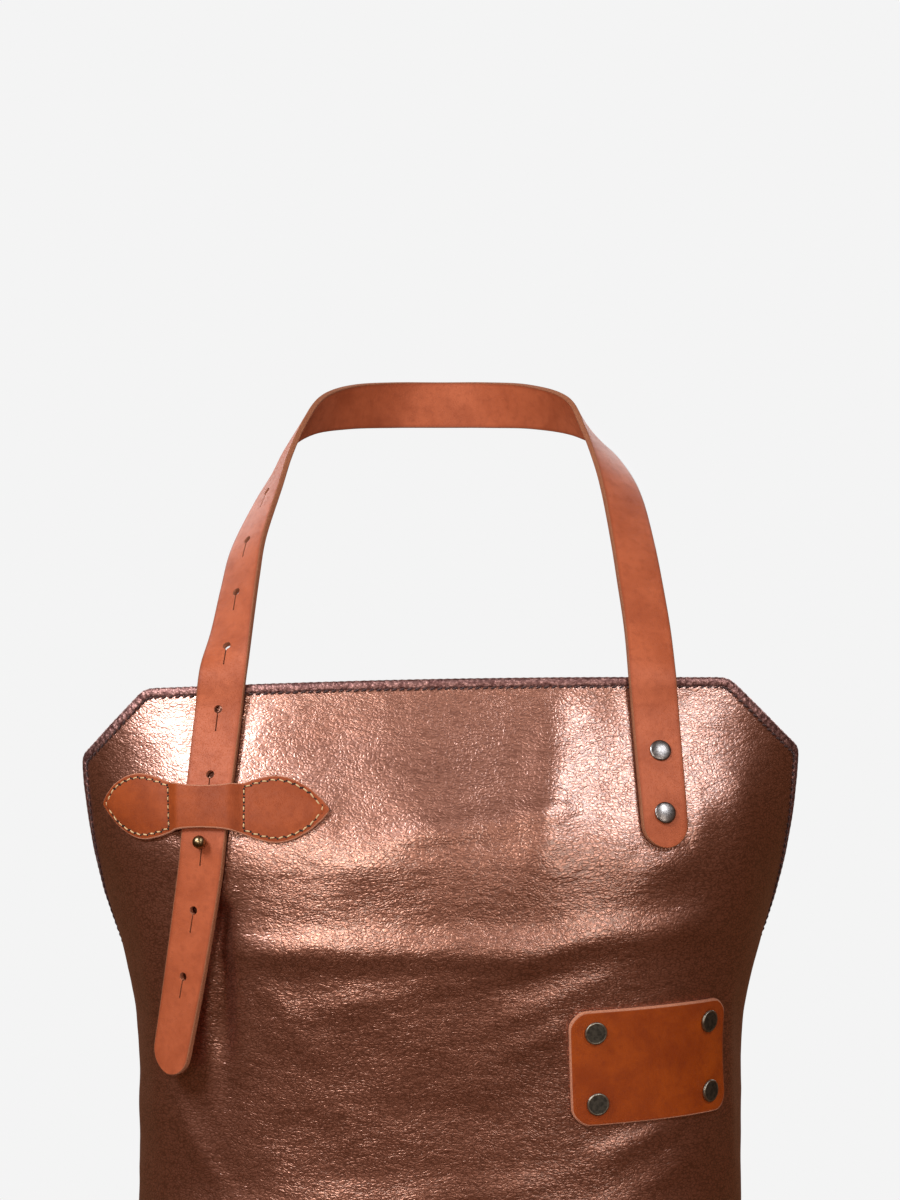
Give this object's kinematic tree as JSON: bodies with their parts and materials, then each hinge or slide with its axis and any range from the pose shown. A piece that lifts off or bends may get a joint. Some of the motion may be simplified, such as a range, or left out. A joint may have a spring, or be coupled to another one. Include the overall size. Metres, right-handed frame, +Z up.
{
  "type": "leather bib apron",
  "caption": "Worn-shape leather bib apron with cut corners, bound edge, buttoned neck strap with keeper, riveted patch and waist belt joined at the back.",
  "frame": {"origin": "middle of the neck strap's inner face at the nape, where the apron hangs from the wearer's neck", "axes": "+Z up; the wearer faces -Y; +X is to the right of someone who looks at the front of the apron"},
  "size_m": [0.3839, 0.2511, 0.9898],
  "materials": {
    "metallic_leather": "rose bronze foil finish over a fine pebble grain",
    "binding_leather": "dark folded edge with a soft metallic sheen",
    "tan_leather": "smooth vegetable tanned, satin",
    "patch_leather": "smooth deep orange tan, satin",
    "nickel": "polished nickel plate",
    "dark_pewter": "antiqued pewter with a bright rim",
    "antique_brass": "antiqued brass"
  },
  "bodies": {
    "apron": {"apron_panel": "metallic_leather", "edge_binding": "binding_leather", "strap_stud_length": "tan_leather", "strap_keeper": "tan_leather", "strap_stud": "antique_brass", "stud_screw": "antique_brass", "strap_riveted_end": "tan_leather", "strap_rivet_caps": "nickel", "strap_rivet_posts": "nickel", "patch": "patch_leather", "patch_rivet_caps": "dark_pewter", "patch_rivet_posts": "dark_pewter", "belt_left_anchor": "tan_leather", "belt_right_anchor": "tan_leather", "belt_rivet_caps": "nickel", "belt_rivet_posts": "nickel"},
    "neck_loop": {"neck_strap": "tan_leather"},
    "tail_flap": {"strap_tail": "tan_leather"},
    "belt_left_half": {"belt_left": "tan_leather"},
    "belt_end_flap": {"belt_tail": "tan_leather"},
    "belt_right_half": {"belt_right": "tan_leather", "belt_stud": "antique_brass", "belt_stud_screw": "antique_brass"}
  },
  "joints": [
    {"name": "neck_loop_fold", "type": "hinge", "parent": "apron", "child": "neck_loop", "pos_m": [0, -0.1685, -0.147], "axis": [1, 0, 0], "range_deg": [0, 150]},
    {"name": "strap_tail_lift", "type": "hinge", "parent": "apron", "child": "tail_flap", "pos_m": [-0.12584, -0.18852, -0.2458], "axis": [-0.9007, 0.4017, 0.1654], "range_deg": [0, 75]},
    {"name": "belt_left_swing", "type": "hinge", "parent": "apron", "child": "belt_left_half", "pos_m": [-0.1313, -0.00805, -0.437], "axis": [0, 0, 1], "range_deg": [0, 100]},
    {"name": "belt_tail_lift", "type": "hinge", "parent": "belt_left_half", "child": "belt_end_flap", "pos_m": [0.02626, 0.02669, -0.437], "axis": [0, 0, 1], "range_deg": [0, 80]},
    {"name": "belt_right_swing", "type": "hinge", "parent": "apron", "child": "belt_right_half", "pos_m": [0.12859, -0.00975, -0.437], "axis": [0, 0, 1], "range_deg": [0, 35]}
  ]
}
